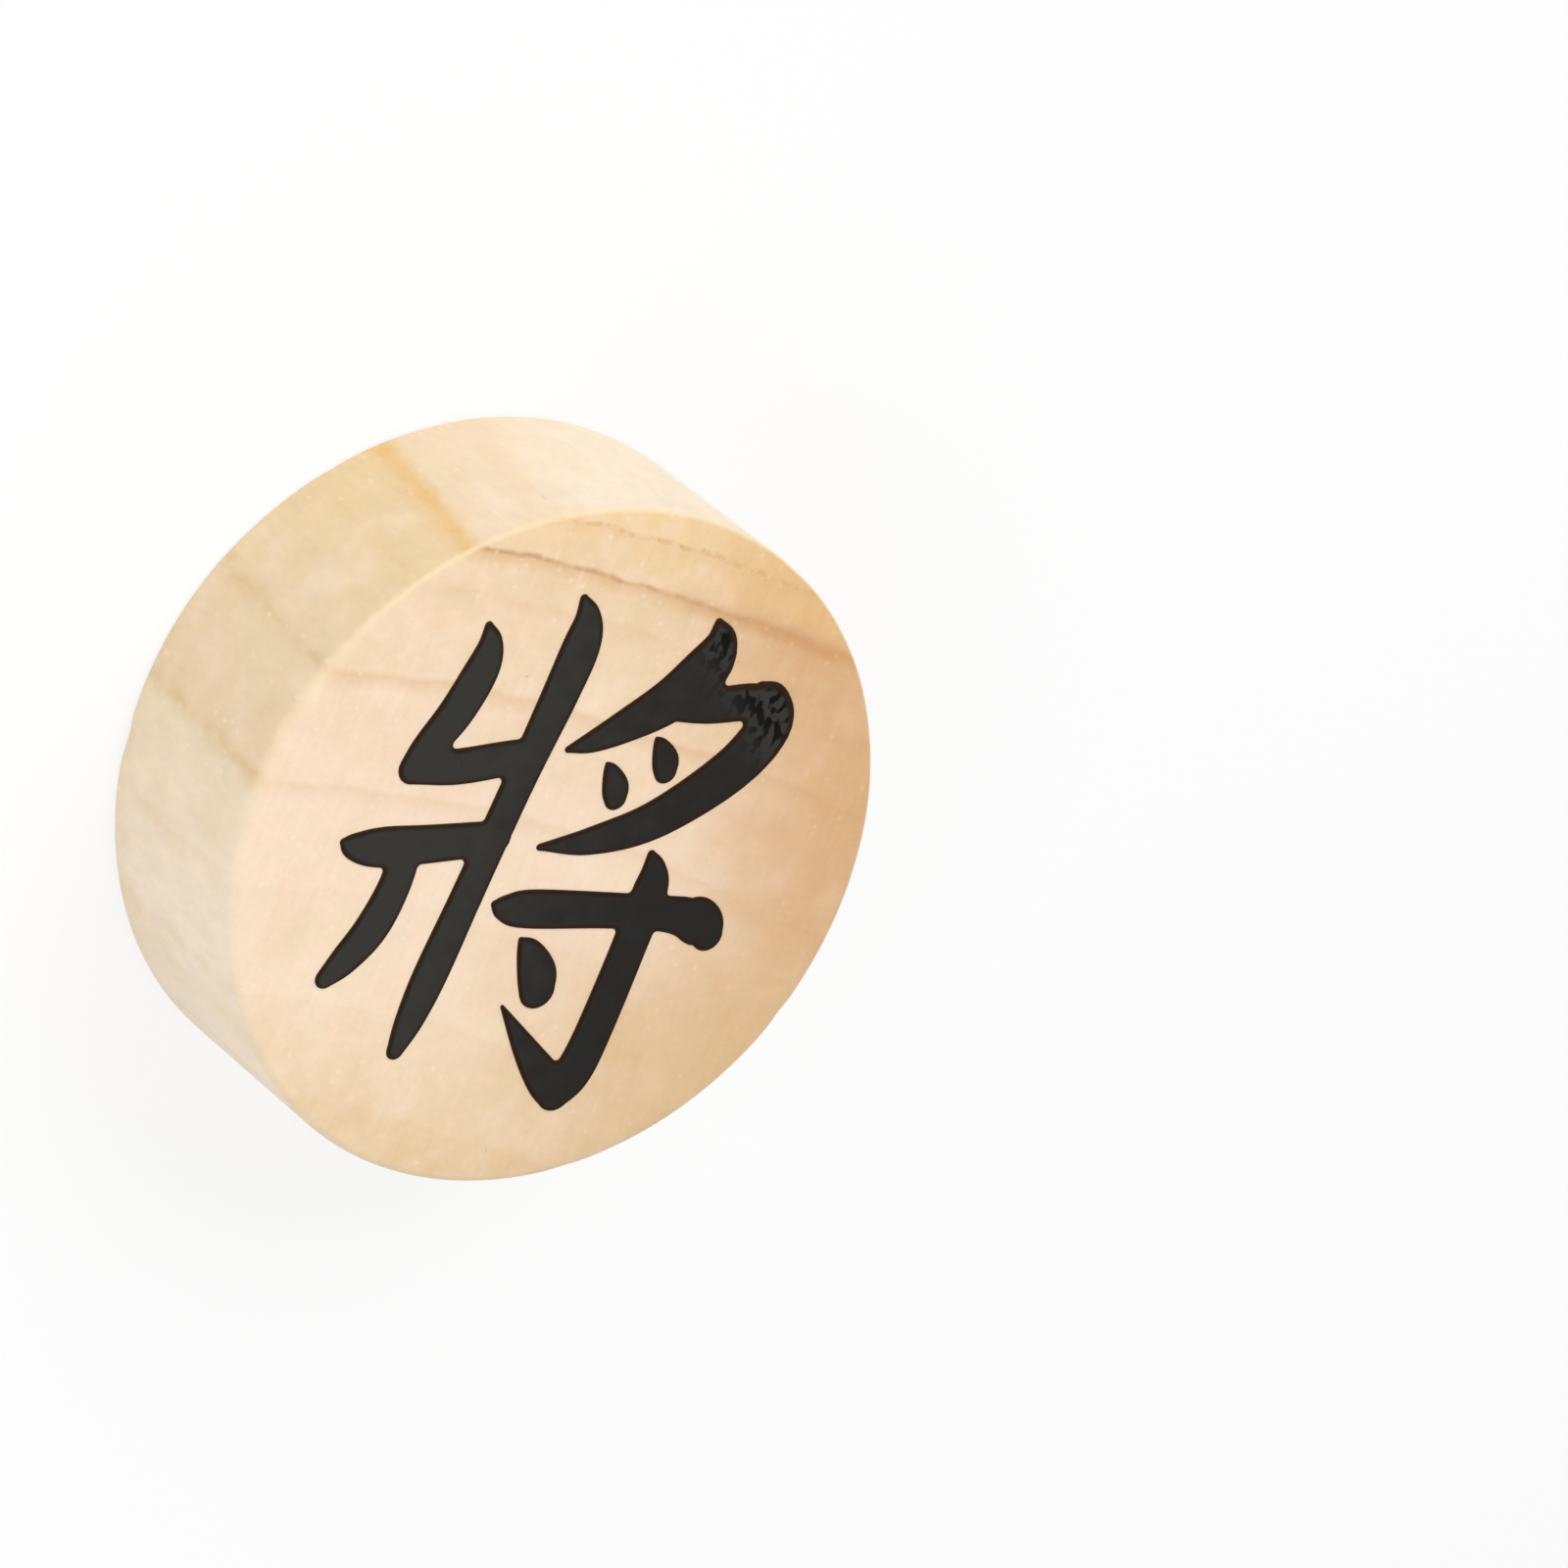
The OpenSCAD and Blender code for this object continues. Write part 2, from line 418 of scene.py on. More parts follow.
def ramp_of_layers(tree, layer, stops):
    """Colour ramp over the layers; a stop is (layer in millimetres, colour), the outer two at the ends."""
    share = calc(tree, "ADD", calc(tree, "MULTIPLY", layer, 0.5 / half_span_mm), 0.5)
    node = tree.nodes.new("ShaderNodeValToRGB")
    tree.links.new(share, node.inputs["Fac"])
    ramp = node.color_ramp
    ramp.elements[0].color = stops[0][1]
    ramp.elements[1].color = stops[-1][1]
    for where, colour in stops[1:-1]:
        ramp.elements.new(0.5 + 0.5 * where / half_span_mm).color = colour
    return node.outputs["Color"]


def line_share(tree, layer, lines, sharp):
    """How dark the late wood is at a layer: for each line a slow rise, a peak and a fall within sharp."""
    bare = (0, 0, 0, 1)
    stops = [
        (layer_mm, (grey, grey, grey, 1))
        for where, strength, reach in lines
        for layer_mm, grey in ((where - reach, 0.0), (where, strength), (where + sharp, 0.0))
    ]
    ramp = ramp_of_layers(tree, layer, [(-half_span_mm, bare), *stops, (half_span_mm, bare)])
    return step(tree, "ShaderNodeSeparateColor", {"Color": ramp})


patchy = noise(wood_tree, stretched(wood_tree, wood_mm, 0.9, 0.9, 0.7), detail=4.0, roughness=0.6)
whole = span(wood_tree, layer, 9.8, 10.8, 0.0, 0.9)
kept = calc(wood_tree, "MAXIMUM", span(wood_tree, patchy, 0.34, 0.64, 0.25, 1.2), whole)
face_line = product(wood_tree, line_share(wood_tree, layer, face_lines, face_sharp_mm), end_share)
rim_line = product(wood_tree, line_share(wood_tree, layer, rim_lines, rim_sharp_mm), rim_share, kept)
print(f"{len(face_lines)} year lines on the face, {len(rim_lines)} on the rim")


# %% [markdown]
# ## The strong line and the row
# On the face the strong line has a thin reddish core that comes and goes. Towards the sign's
# right the core fades, and a soft orange band takes its place. Above it runs one layer with so
# many pores that it looks like a dashed line. Each of the three is the nearness to one layer,
# times a noise or a drift that breaks it up, times the share of end grain, because none of them
# shows on the rim.

# %% Core, band and row
strong_layer, row_layer = 11.65, 13.55


def near_layer(tree, layer, where, solid, gone):
    """1 within solid millimetres of a layer, easing to 0 at gone millimetres."""
    off = calc(tree, "ABSOLUTE", calc(tree, "SUBTRACT", layer, where))
    return span(tree, off, solid, gone, 1.0, 0.0)


right_inputs = {0: wood_mm, 1: (1.0, 0.15, 0.0)}
rightwards = step(wood_tree, "ShaderNodeVectorMath", right_inputs, output="Value", operation="DOT_PRODUCT")
come_and_go = noise(wood_tree, stretched(wood_tree, wood_mm, 1.1, 0.5, 0.4), detail=3.0)
come_and_go = span(wood_tree, come_and_go, 0.36, 0.62, 0.25, 1.0)
core = near_layer(wood_tree, layer, strong_layer, 0.02, 0.17)
core = product(wood_tree, core, come_and_go, end_share, span(wood_tree, rightwards, 2.5, 8.5, 1.0, 0.15))
band = near_layer(wood_tree, layer, strong_layer - 0.05, 0.05, 0.50)
band = product(wood_tree, band, span(wood_tree, rightwards, 0.0, 9.0, 0.0, 0.50), end_share)
dashes = noise(wood_tree, stretched(wood_tree, wood_mm, 1.7, 1.7, 0.4), detail=2.0)
row = near_layer(wood_tree, layer, row_layer, 0.03, 0.16)
row = product(wood_tree, row, span(wood_tree, dashes, 0.40, 0.60), span(wood_tree, end_share, 0.3, 1.0))
print(f"strong line {strong_layer} mm and row {row_layer} mm above the disc's middle")

# %% [markdown]
# ## Pores
# Sap vessels are tubes along the stem. On the face they are cut across and show as dots a tenth
# of a millimetre wide, on the rim they are cut lengthwise and show as short dashes. Cells of a
# Voronoi pattern, drawn out along the axis, give both at once. Few cells hold a pore that shows.
# Only one layer, beyond the strong line, has a whole row of them. Some pores are dark, and more
# are filled with pale sealer. Near the top of the face some pale flecks lie along the rays.

# %% Pores along the stem
def spots(tree, where, chosen, solid, gone):
    """Voronoi cells, one to a unit; a chosen share of them hold a spot, solid in the middle, then fading."""
    node = tree.nodes.new("ShaderNodeTexVoronoi")
    tree.links.new(where, node.inputs["Vector"])
    node.inputs["Scale"].default_value = 1.0
    lot = step(tree, "ShaderNodeSeparateColor", {"Color": node.outputs["Color"]})
    spot = span(tree, node.outputs["Distance"], solid, gone, 1.0, 0.0)
    return calc(tree, "MULTIPLY", spot, calc(tree, "LESS_THAN", lot, chosen))


in_row = near_layer(wood_tree, layer, row_layer, 0.10, 0.24)
pore_share = calc(wood_tree, "ADD", weighed(wood_tree, in_row, 0.30, 0), 0.002)
pore_share = product(wood_tree, pore_share, span(wood_tree, end_share, 0.0, 1.0, 0.1, 1.0))
pore = spots(wood_tree, stretched(wood_tree, wood_mm, 3.4, 3.4, 0.55), pore_share, 0.10, 0.27)

by_line = near_layer(wood_tree, layer, strong_layer - 0.35, 0.15, 0.55)
by_line = product(wood_tree, by_line, end_share)
sprinkled = span(wood_tree, end_share, 0, 1, 0.20, 0.19)
fleck_share = calc(wood_tree, "ADD", weighed(wood_tree, by_line, 0.50, 0), sprinkled)
fleck = spots(wood_tree, stretched(wood_tree, wood_mm, 2.0, 2.0, 1.25), fleck_share, 0.02, 0.33)
ray_share = product(wood_tree, span(wood_tree, layer, 9.5, 12.5, 0.0, 0.16), end_share)
ray_fleck = spots(wood_tree, stretched(wood_tree, stem_place, 2.6, 0.75, 0.75), ray_share, 0.0, 0.30)
fleck = calc(wood_tree, "MAXIMUM", fleck, ray_fleck)
print("dark pores and pale flecks follow the stem")

# %% [markdown]
# ## Fibres, rays and blotches
# Fibres streak the rim along the axis. Rays run the other way, from the middle of the tree
# outwards, and comb the face with very fine lines across the layers. Both only shift the
# brightness by a few parts in a hundred, and soft blotches and the grain by a little more.

# %% Streaks
fibre = noise(wood_tree, stretched(wood_tree, wood_mm, 4.5, 4.5, 0.30), detail=4.0)
ray = noise(wood_tree, stretched(wood_tree, stem_place, 3.4, 0.45, 0.8), detail=3.0)
blotch = noise(wood_tree, stretched(wood_tree, wood_mm, 0.9, 0.9, 0.5), detail=5.0, roughness=0.6)
grain = noise(wood_tree, stretched(wood_tree, wood_mm, 3.6, 3.6, 1.6), detail=3.0, roughness=0.65)
swings = [(fibre, 0.045), (ray, 0.08), (blotch, 0.13), (grain, 0.11)]
streak = total(wood_tree, *(weighed(wood_tree, pattern, weight) for pattern, weight in swings))
print(f"{len(swings)} patterns shift the brightness")

# %% [markdown]
# ## A tint for each year
# The years differ in tint, and the end grain on the face has drunk more of the sealer and is a
# pinker cream than the rim. So face and rim each have a ramp of colours over the layers. Clouds
# of straw and of rose, laid over them by noise, keep either from looking even.

# %% Ground colours
# Tint of each year's wood on the rim and on the face: layer in millimetres, colour
rim_years = [
    (-16.0, srgb(247, 231, 207)), (-7.0, srgb(249, 233, 212)), (0.2, srgb(243, 225, 194)),
    (1.2, srgb(239, 213, 176)), (5.6, srgb(242, 218, 183)), (6.2, srgb(242, 218, 181)),
    (10.9, srgb(241, 214, 167)), (11.8, srgb(246, 221, 187)), (12.9, srgb(247, 224, 192)),
    (13.25, srgb(247, 223, 190)), (13.65, srgb(250, 232, 206)), (16.0, srgb(249, 233, 212)),
]
face_years = [
    (-16.0, srgb(234, 202, 154)), (-8.0, srgb(251, 227, 199)), (0.5, srgb(251, 226, 201)),
    (1.3, srgb(250, 224, 197)), (5.7, srgb(247, 220, 189)), (6.3, srgb(245, 218, 184)),
    (10.4, srgb(243, 215, 179)), (11.4, srgb(242, 212, 172)), (16.0, srgb(250, 217, 158)),
]
straw, rose = srgb(240, 219, 176), srgb(251, 219, 193)

rim_ground = ramp_of_layers(wood_tree, layer, rim_years)
face_ground = ramp_of_layers(wood_tree, layer, face_years)
ground = tint(wood_tree, end_share, rim_ground, face_ground)
cloud = noise(wood_tree, stretched(wood_tree, wood_mm, 0.20, 0.30, 0.18), detail=3.0)
ground = tint(wood_tree, span(wood_tree, cloud, 0.45, 0.75, 0.0, 0.45), ground, straw)
ground = tint(wood_tree, span(wood_tree, patchy, 0.50, 0.75, 0.0, 0.25), ground, straw)
rose_share = span(wood_tree, blotch, 0.42, 0.66, 0.0, 0.4)
rose_share = product(wood_tree, rose_share, span(wood_tree, end_share, 0.0, 1.0, 0.4, 1.0))
ground = tint(wood_tree, rose_share, ground, rose)
print(f"{len(rim_years)} tints on the rim, {len(face_years)} on the face")

# %% [markdown]
# ## Painted shade on the right
# Towards the sign's right the face is painted darker and warmer, from cream to honey: painted
# shade with painted warm bounce light. Low on the face the drift is long and pale, further up it
# starts later, and above the strong line it is yellower. A last, slow noise lays soft patches
# over all of the wood, some darker and some paler, and both are stronger colours where the shade
# is painted.

# %% Painted shade and soft patches
shade_honey, pale_shade_honey, top_shade_honey = srgb(223, 179, 133), srgb(226, 191, 145), srgb(232, 188, 130)
bisque, cream, shaded_cream = srgb(224, 176, 122), srgb(253, 233, 210), srgb(237, 204, 166)

towards_right = calc(wood_tree, "ADD", rightwards, weighed(wood_tree, cloud, 3.0))
shade_low = span(wood_tree, towards_right, -6.0, 13.0)
shade_middle = span(wood_tree, towards_right, 2.5, 14.5)
shade_high = span(wood_tree, towards_right, 0.5, 10.5)
half_up, high_up = span(wood_tree, layer, -7.0, 0.0), span(wood_tree, layer, 6.0, 11.0)
# Painted shade and painted warm bounce light: the face darkens to honey towards the sign's right.
painted_shade_share = step(wood_tree, "ShaderNodeMix", {0: half_up, 2: shade_low, 3: shade_middle})
painted_shade_share = step(wood_tree, "ShaderNodeMix", {0: high_up, 2: painted_shade_share, 3: shade_high})
painted_shade_share = product(wood_tree, painted_shade_share, end_share)
painted_shade_ground = tint(wood_tree, span(wood_tree, layer, -8.5, 5.5), pale_shade_honey, shade_honey)
painted_shade_ground = tint(wood_tree, span(wood_tree, layer, 11.7, 12.6), painted_shade_ground, top_shade_honey)
ground = tint(wood_tree, painted_shade_share, ground, painted_shade_ground)

patch = noise(wood_tree, stretched(wood_tree, wood_mm, 0.45, 0.45, 0.45), detail=2.5)
darker = span(wood_tree, patch, 0.50, 0.72)
darker = product(wood_tree, darker, span(wood_tree, painted_shade_share, 0.1, 0.8, 0.09, 0.30))
ground = tint(wood_tree, darker, ground, bisque)
paler = span(wood_tree, patch, 0.28, 0.50, 0.34, 0.0)
ground = tint(wood_tree, paler, ground, tint(wood_tree, painted_shade_share, cream, shaded_cream))
print("ground colours laid")

# %% [markdown]
# ## Put the wood together
# The colours go on from the widest to the finest: ground colour, year lines, streaks, pores,
# flecks, and last the edge, which handling has rubbed a little paler and which also carries a
# painted highlight.

# %% Wood colour
late_tan = srgb(217, 171, 116)
rim_tan = tint(wood_tree, span(wood_tree, layer, 8.0, 10.0), srgb(228, 197, 148), srgb(238, 198, 133))
core_red = srgb(190, 132, 92)
band_orange = srgb(206, 151, 101)
row_tan = srgb(210, 166, 116)
pore_brown = srgb(178, 126, 78)
fleck_pale = srgb(255, 243, 222)
rubbed_and_highlight_pale = srgb(249, 230, 186)

colour = tint(wood_tree, face_line, ground, late_tan)
colour = tint(wood_tree, band, colour, band_orange)
colour = tint(wood_tree, rim_line, colour, rim_tan)
colour = tint(wood_tree, weighed(wood_tree, core, 0.52, 0), colour, core_red)
colour = tint(wood_tree, weighed(wood_tree, row, 0.42, 0), colour, row_tan)
brightness = calc(wood_tree, "ADD", streak, 1.0)
brightness_grey = step(wood_tree, "ShaderNodeCombineColor", {0: brightness, 1: brightness, 2: brightness})
colour = tint(wood_tree, 1.0, colour, brightness_grey, "MULTIPLY")
colour = tint(wood_tree, weighed(wood_tree, pore, 0.45, 0), colour, pore_brown)
fleck = product(wood_tree, fleck, span(wood_tree, painted_shade_share, 0.1, 0.9, 0.42, 0.16))
colour = tint(wood_tree, fleck, colour, fleck_pale)
# Painted highlight along the rounded edge, together with its handling wear.
rubbed_and_highlight = step(wood_tree, "ShaderNodeAttribute", {}, output="Fac", attribute_name="edge_wear")
rubbed_and_highlight = product(wood_tree, rubbed_and_highlight, span(wood_tree, blotch, 0.35, 0.65, 0.25, 0.65))
colour = tint(wood_tree, rubbed_and_highlight, colour, rubbed_and_highlight_pale)
wood_tree.links.new(colour, wood_shader.inputs["Base Color"])
print("wood coloured")

# %% [markdown]
# ## The feel of the wood
# The same patterns press a faint relief into the surface, some thousandths of a millimetre deep:
# fibres and grit stand up, pores and the late wood lie lower. The blotches also break up the
# dull shine of the sealed wood.

# %% Relief and shine
relief_deep = 0.02 * MM
grit = noise(wood_tree, stretched(wood_tree, wood_mm, 7.0, 7.0, 3.0), detail=3.0)
relief = calc(wood_tree, "SUBTRACT", weighed(wood_tree, fibre, 0.5), pore)
relief = calc(wood_tree, "ADD", relief, weighed(wood_tree, grit, 0.5))
relief = calc(wood_tree, "SUBTRACT", relief, weighed(wood_tree, face_line, 0.4, 0))
bump = step(wood_tree, "ShaderNodeBump", {"Height": relief, "Strength": 0.3, "Distance": relief_deep})
wood_tree.links.new(bump, wood_shader.inputs["Normal"])
wood_tree.links.new(span(wood_tree, blotch, 0.3, 0.7, 0.48, 0.60), wood_shader.inputs["Roughness"])
wood_shader.inputs["Specular IOR Level"].default_value = 0.28
disc.data.materials.append(wood)
print("wood finished")


# %% [markdown]
# ## The outline of a patch of ink
# The ink lies on the face in separate patches, and each has its solid. The solid's top is made
# of triangles. An edge that belongs to only one of them lies on the outline, and because all
# of them turn the same way, those edges run round the patch in order. No outline has to be
# written down twice.

# %% Read an outline from a solid
def open_edges(triangles, count):
    """Edges that only one of the triangles has, sorted by the point where they start."""
    edges = np.concatenate([triangles[:, [0, 1]], triangles[:, [1, 2]], triangles[:, [2, 0]]])
    forward, backward = edges @ [count, 1], edges @ [1, count]
    edges = edges[~np.isin(forward, backward)]
    return edges[np.argsort(edges[:, 0])]


def outline_of(node):
    """Points round a solid's top, in metres across the face, and for each the number of the next one."""
    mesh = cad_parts[node].data
    points = np.empty(len(mesh.vertices) * 3)
    mesh.vertices.foreach_get("co", points)
    corners = np.empty(len(mesh.loops), dtype=np.int64)
    mesh.loops.foreach_get("vertex_index", corners)
    weld = 1e-8
    places, same = np.unique(np.round(points.reshape(-1, 3) / weld), axis=0, return_inverse=True)
    triangles = same.ravel()[corners].reshape(-1, 3)
    on_top = places[:, 2] > places[:, 2].mean()
    edges = open_edges(triangles[on_top[triangles].all(axis=1)], len(places))
    return places[edges[:, 0], :2] * weld, np.searchsorted(edges[:, 0], edges[:, 1])


outlines = {node: outline_of(node) for node in ink_nodes}
print({node: len(points) for node, (points, following) in outlines.items()})


# %% [markdown]
# ## How deep inside the ink?
# Everything about a film of ink depends on how far a point lies from its edge: the film swells
# up within a tenth of a millimetre and is level further in. The distance to an outline is the
# least distance to any of its edges, and a point is inside if a ray from it crosses the outline
# an odd number of times.

# %% Depth inside an outline
def depth_of_some(points, start, end):
    """Distance of each point from the outline's edges, positive inside and negative outside."""
    run = end - start
    off = points[:, None, :] - start
    share = np.clip((off * run).sum(axis=2) / (run ** 2).sum(axis=1), 0, 1)
    nearest = np.hypot(off[..., 0] - share * run[:, 0], off[..., 1] - share * run[:, 1]).min(axis=1)
    above = points[:, None, 1]
    spans = (start[:, 1] > above) != (end[:, 1] > above)
    slope = run[:, 0] / np.where(run[:, 1] == 0, 1.0, run[:, 1])
    crossed = spans & (points[:, None, 0] < start[:, 0] + (above - start[:, 1]) * slope)
    return np.where(crossed.sum(axis=1) % 2 == 1, nearest, -nearest)


def depth_inside(points, outline):
    """The same for any number of points, taken some thousands at a time to spare memory."""
    start, following = outline
    batches = np.array_split(points, len(points) // 4000 + 1)
    return np.concatenate([depth_of_some(batch, start, start[following]) for batch in batches])


print("outline edges in all:", sum(len(points) for points, following in outlines.values()))


# %% [markdown]
# ## Lumps in the ink
# Thick ink does not dry quite flat. It keeps soft lumps half a millimetre across, and where the
# strokes at the upper right begin, it was laid on too thick and dried crinkled. Lumps are a
# random height at each knot of a net, with smooth slopes in between. A fixed seed gives the
# same lumps each time.

# %% Smooth lumps
def lumps(points, size, seed):
    """Random heights from -1 to 1 at the knots of a net, eased between the four knots round a point."""
    knots = np.random.default_rng(seed).uniform(-1, 1, (256, 256))
    place = points / size + 128
    knot = np.floor(place).astype(int)
    ease = place - knot
    ease = ease * ease * (3 - 2 * ease)
    left, low = (knot % 256).T
    right, high = ((knot + 1) % 256).T
    lower = knots[left, low] * (1 - ease[:, 0]) + knots[right, low] * ease[:, 0]
    upper = knots[left, high] * (1 - ease[:, 0]) + knots[right, high] * ease[:, 0]
    return lower * (1 - ease[:, 1]) + upper * ease[:, 1]


def crinkled_share(points):
    """1 at the sign's upper right, where the ink dried crinkled, falling to 0 towards its middle."""
    along = (points @ [0.62, 0.78]) / MM
    share = np.clip((along - 8.0) / 2.5, 0, 1)
    return share * share * (3 - 2 * share)


print("lumps are the same in every run")


# %% [markdown]
# ## Where the film needs points
# The film needs points exactly on its outline, some rows of points close behind it for the
# round shoulder, and a net of points across the middle for the lumps.

# %% Points of a film
shoulder = 0.10 * MM
row_depths = np.array([0.016, 0.045, 0.085]) * MM
net_step = 0.085 * MM


def film_points(outline):
    """Points along the outline and the pairs that join them, then rows behind it and a net over the rest."""
    corners, following = outline
    run = corners[following] - corners
    length = np.hypot(*run.T)
    pieces = np.ceil(length / net_step).astype(int)
    first = np.cumsum(pieces) - pieces
    owner = np.repeat(np.arange(len(corners)), pieces)
    number = np.arange(len(owner))
    part = number - first[owner]
    edge = corners[owner] + run[owner] * (part / pieces[owner])[:, None]
    after = np.where(part + 1 < pieces[owner], number + 1, first[following[owner]])
    inward = (run @ [[0, 1], [-1, 0]] / length[:, None])[owner]
    rows = np.concatenate([edge + inward * depth for depth in row_depths])
    rows = rows[depth_inside(rows, outline) > 0.97 * np.repeat(row_depths, len(edge))]
    sides = [np.arange(low, high, net_step) for low, high in zip(edge.min(axis=0), edge.max(axis=0))]
    net = np.stack(np.meshgrid(*sides), axis=-1).reshape(-1, 2)
    net = net[depth_inside(net, outline) > row_depths[-1] + 0.3 * net_step]
    return np.concatenate([edge, rows, net]), np.stack([number, after], axis=1)


print(f"shoulder {shoulder / MM:.2f} mm wide, net of {net_step / MM:.3f} mm")


# %% [markdown]
# ## The height of the film
# Wet ink draws itself up into a rounded shoulder, keeps a low bead just behind it, and levels
# out. A few pinholes are left where a bubble burst.

# %% Height over the face
# Each pinhole: x and y from the disc's middle, and its radius, in millimetres
pinholes = [(-6.15, 2.62, 0.07), (5.35, -5.4, 0.055), (-3.2, -1.9, 0.05)]


def film_height(points, depth):
    """Thickness times a quarter circle over the shoulder, with a bead behind it and lumps, less the
    pinholes."""
    into = np.clip(depth / shoulder, 0, 1)
    swell = np.sqrt(into * (2 - into))
    bead = 0.10 * np.exp(-(((depth / MM - 0.20) / 0.10) ** 2))
    calm = 0.07 * lumps(points, 0.90 * MM, 3) + 0.05 * lumps(points, 0.36 * MM, 5)
    crinkle = 0.32 * lumps(points, 0.45 * MM, 7) + 0.16 * lumps(points, 0.22 * MM, 11)
    height = swell * (1 + bead + calm + crinkled_share(points) * crinkle)
    for x, y, size in pinholes:
        off = np.hypot(points[:, 0] / MM - x, points[:, 1] / MM - y)
        height = height * (1 - 0.85 * np.exp(-((off / size) ** 4)))
    return ink_t * height


print(f"film {ink_t / MM:.2f} mm thick where it is level")


# %% [markdown]
# ## The films
# A Delaunay triangulation that must keep the outline joins the points. The underside is the
# same net turned over and set a little into the wood, as ink that has soaked in, and a narrow
# band closes the film between the two.

# %% Build the films
soak = 0.012 * MM


def make_film(node):
    """Closed film over one solid: a net of triangles on top, its mirror below, and a band round the edge."""
    outline = outlines[node]
    points, pairs = film_points(outline)
    joined = delaunay_2d_cdt([Vector(p) for p in points.tolist()], pairs.tolist(), [], 1, 1e-10)
    flat = np.array([tuple(p) for p in joined[0]])
    net = np.array(joined[2])
    net = net[depth_inside(flat[net].mean(axis=1), outline) > 0]
    depth = np.maximum(depth_inside(flat, outline), 0)
    height = film_height(flat, depth)
    count = len(flat)
    ends = open_edges(net, count)
    band = np.stack([ends[:, 1], ends[:, 0], ends[:, 0] + count, ends[:, 1] + count], axis=1)
    top = np.column_stack([flat, face_z + height])
    under = np.column_stack([flat, np.full(count, face_z - soak)])
    faces = net.tolist() + (net[:, ::-1] + count).tolist() + band.tolist()
    inside, crinkle = np.tile(depth / MM, 2), np.tile(crinkled_share(flat), 2)
    name = node.replace("ink_", "ink_film_")
    film = make_piece(name, np.vstack([top, under]), faces, ink_inside=inside, ink_crinkle=crinkle)
    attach(film, "root")
    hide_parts(node)
    return film


films = [make_film(node) for node in ink_nodes]

# %% [markdown]
# ## Ink
# The ink is a warm black with a satin shine. Towards the left its colour lightens to a charcoal
# grey, which is a painted sheen, and it is thickest at the upper right, where its skin crinkled
# into matt black beads on a greyer ground. Towards its edge it thins out to a dark brown, and at
# the very edge the wood shows through. The films bring two attributes for this: how deep a point
# lies inside its outline, in millimetres, and how crinkled the ink is there.

# %% Ink colour
ink, ink_tree, ink_shader = start_material("black_ink")
ink_place = step(ink_tree, "ShaderNodeTexCoord", {}, output="Object")
ink_mm = stretched(ink_tree, ink_place, 1 / MM, 1 / MM, 1 / MM)
ink_x = step(ink_tree, "ShaderNodeSeparateXYZ", {0: ink_mm}, output="X")
ink_inside = step(ink_tree, "ShaderNodeAttribute", {}, output="Fac", attribute_name="ink_inside")
crinkle = step(ink_tree, "ShaderNodeAttribute", {}, output="Fac", attribute_name="ink_crinkle")
mottle = noise(ink_tree, stretched(ink_tree, ink_mm, 0.9, 0.9, 0.9), detail=4.0)
beads = noise(ink_tree, stretched(ink_tree, ink_mm, 2.6, 1.9, 2.6), detail=1.5)
bead = product(ink_tree, crinkle, span(ink_tree, beads, 0.46, 0.58))
into = calc(ink_tree, "ADD", ink_inside, weighed(ink_tree, mottle, 0.25))
into = calc(ink_tree, "SUBTRACT", into, weighed(ink_tree, crinkle, 0.12, 0))
border = span(ink_tree, into, 0.05, 0.30, 1.0, 0.0)

sheen_charcoal, ink_black = srgb(43, 42, 37), srgb(20, 15, 10)
crinkle_grey, bead_black = srgb(50, 48, 44), srgb(6, 5, 5)
border_brown, thin_brown = srgb(42, 27, 16), srgb(88, 56, 38)
# Painted sheen: the ink is painted a lighter charcoal towards the left.
ink_sheen_across = calc(ink_tree, "ADD", ink_x, weighed(ink_tree, mottle, 12.0))
ink_colour = tint(ink_tree, span(ink_tree, ink_sheen_across, -7.0, 7.0), sheen_charcoal, ink_black)
ink_colour = tint(ink_tree, weighed(ink_tree, crinkle, 0.8, 0), ink_colour, crinkle_grey)
ink_colour = tint(ink_tree, bead, ink_colour, bead_black)
ink_colour = tint(ink_tree, weighed(ink_tree, border, 0.9, 0), ink_colour, border_brown)
ink_colour = tint(ink_tree, span(ink_tree, ink_inside, 0.0, 0.035, 0.8, 0.0), ink_colour, thin_brown)
ink_tree.links.new(ink_colour, ink_shader.inputs["Base Color"])
print("ink coloured")

# %% [markdown]
# ## The skin of the ink
# A film of ink is never evenly glossy. Its roughness drifts with the mottling, a fine speckle
# and the beads raise a relief, and the border and the beads are the most matt.

# %% Ink relief and shine
speckle = noise(ink_tree, stretched(ink_tree, ink_mm, 7.0, 7.0, 7.0), detail=2.0)
ink_height = calc(ink_tree, "ADD", weighed(ink_tree, speckle, 0.6), bead)
ink_relief_inputs = {"Height": ink_height, "Strength": 0.3, "Distance": relief_deep}
ink_relief = step(ink_tree, "ShaderNodeBump", ink_relief_inputs)
ink_tree.links.new(ink_relief, ink_shader.inputs["Normal"])
ink_tree.links.new(span(ink_tree, mottle, 0.3, 0.7, 0.36, 0.50), ink_shader.inputs["Roughness"])
matt = calc(ink_tree, "MAXIMUM", border, weighed(ink_tree, bead, 0.9, 0))
ink_tree.links.new(span(ink_tree, matt, 0.0, 1.0, 0.18, 0.06), ink_shader.inputs["Specular IOR Level"])
for film in films:
    film.data.materials.append(ink)
print(f"ink on {len(films)} films")

# %% [markdown]
# ## The table
# The piece lies on a plain white table. To the camera the table is mostly a white glow, with
# enough ordinary white left in it to keep the piece's own soft shadow. To light that only
# bounces off it, it is a slightly greyer white.

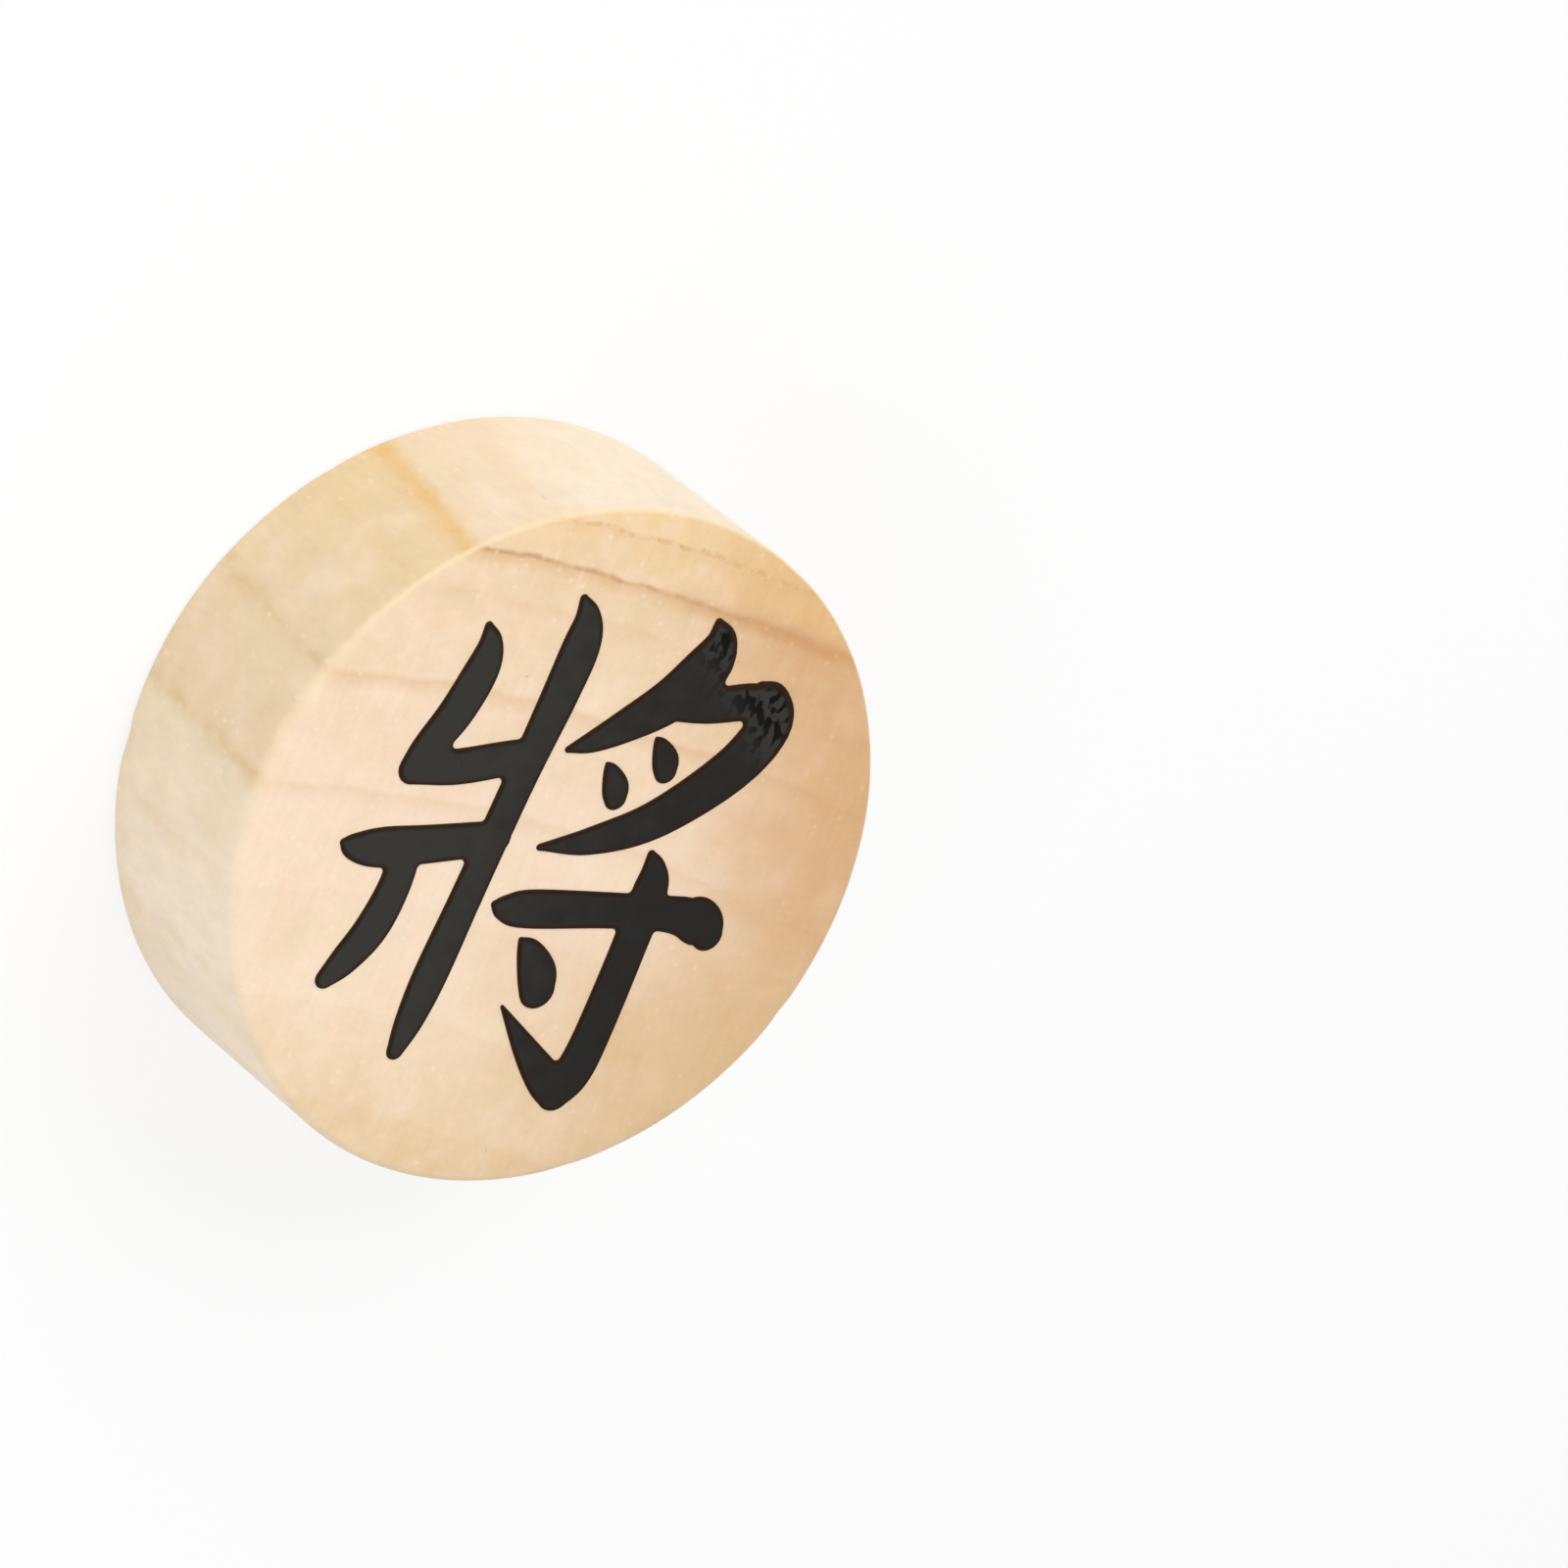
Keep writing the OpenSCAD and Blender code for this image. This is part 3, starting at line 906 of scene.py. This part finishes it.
# %% Floor
def seen_directly(tree):
    """1 for rays that come from the camera, a mirror or a lens, 0 for those that only carry light."""
    rays = tree.nodes.new("ShaderNodeLightPath").outputs
    mirrored = calc(tree, "MAXIMUM", rays["Is Glossy Ray"], rays["Is Transmission Ray"])
    return calc(tree, "MAXIMUM", rays["Is Camera Ray"], mirrored)


floor_half = 1.0
floor_drop = 0.02 * MM
glow_share = 0.76
floor_corners = np.array([[-1, -1, 0], [1, -1, 0], [1, 1, 0], [-1, 1, 0]]) * floor_half
floor = make_piece("table", floor_corners - [0, 0, floor_drop], [[0, 1, 2, 3]])

table, table_tree, table_shader = start_material("white_table")
seen = seen_directly(table_tree)
table_colour = tint(table_tree, seen, srgb(247, 247, 246), srgb(255, 255, 255))
table_tree.links.new(table_colour, table_shader.inputs["Base Color"])
table_shader.inputs["Roughness"].default_value = 0.9
table_shader.inputs["Specular IOR Level"].default_value = 0.0
glow = step(table_tree, "ShaderNodeEmission", {"Color": (1, 1, 1, 1), "Strength": 1.0})
glowing = calc(table_tree, "MULTIPLY", seen, glow_share)
plain = table_shader.outputs["BSDF"]
table_surface = step(table_tree, "ShaderNodeMixShader", {0: glowing, 1: plain, 2: glow})
table_tree.links.new(table_surface, table_tree.nodes["Material Output"].inputs["Surface"])
floor.data.materials.append(table)
print(f"table {2 * floor_half:.0f} m wide")

# %% [markdown]
# ## Light
# A photographer's light tent: soft white from all round, and one large soft box at the sign's
# upper left, which brightens the rim there and catches the rounded edge. A second, small box
# stands close to the sign's lower left, so the face dims a little towards the other side.

# %% Tent and soft boxes
tent = bpy.data.worlds.new("light_tent")
tent.use_nodes = True
bpy.context.scene.world = tent
tent_tree = tent.node_tree
tent_light = 0.58
unlit = weighed(tent_tree, seen_directly(tent_tree), 1 - tent_light, 0)
tent_strength = calc(tent_tree, "ADD", unlit, tent_light)
tent_tree.links.new(tent_strength, tent_tree.nodes["Background"].inputs["Strength"])
tent_tree.nodes["Background"].inputs["Color"].default_value = (1, 1, 1, 1)


def soft_box(name, turn_deg, height_deg, away_mm, side_mm, watts):
    """Square lamp aimed at the disc's face: turned round the axis from +X, raised, and set some way off."""
    turn_to, raised = math.radians(turn_deg), math.radians(height_deg)
    level = math.cos(raised)
    out = Vector((math.cos(turn_to) * level, math.sin(turn_to) * level, math.sin(raised)))
    lamp = bpy.data.lights.new(name, "AREA")
    lamp.size = side_mm * MM
    lamp.energy = watts
    box = bpy.data.objects.new(name, lamp)
    box.location = Vector((0, 0, face_z)) + out * away_mm * MM
    box.rotation_euler = out.to_track_quat("Z", "Y").to_euler()
    bpy.context.scene.collection.objects.link(box)
    print(f"{name}: {watts} W from {away_mm} mm")


soft_box("key_box", turn_deg=88, height_deg=43, away_mm=320, side_mm=220, watts=0.46)
soft_box("near_box", turn_deg=206, height_deg=40, away_mm=110, side_mm=60, watts=0.024)

# %% [markdown]
# ## Camera
# The view is down on the face from one side, with the camera rolled so that the sign leans
# over. A long lens keeps the ellipse of the face almost free of perspective. The camera's place
# follows from where the middle of the face sits in the picture and how large the disc is there.

# %% Camera
picture_px = 1600
face_centre_px = (566.7, 867.0)
disc_radius_px = 378.5
view_turn, view_height, view_roll = math.radians(-109.85), math.radians(49.44), math.radians(128.03)

camera_data = bpy.data.cameras.new("view")
camera_data.lens = 270
camera_data.sensor_width = 36
camera_data.clip_start = 0.01
camera = bpy.data.objects.new("view", camera_data)
back = Vector((
    math.sin(view_turn) * math.cos(view_height),
    -math.cos(view_turn) * math.cos(view_height),
    math.sin(view_height),
))
facing = (-back).to_track_quat("-Z", "Y").to_matrix() @ Matrix.Rotation(view_roll, 3, "Z")
focal_px = camera_data.lens / camera_data.sensor_width * picture_px
distance = focal_px * disc_r / disc_radius_px
sideways = (face_centre_px[0] - picture_px / 2) / focal_px * distance
upward = (picture_px / 2 - face_centre_px[1]) / focal_px * distance
camera.location = Vector((0, 0, face_z)) - facing @ Vector((sideways, upward, -distance))
camera.rotation_euler = facing.to_euler()
bpy.context.scene.collection.objects.link(camera)
bpy.context.scene.camera = camera
bpy.context.scene.view_settings.view_transform = "Standard"
print("camera at", [round(v / MM, 1) for v in camera.location], "mm")
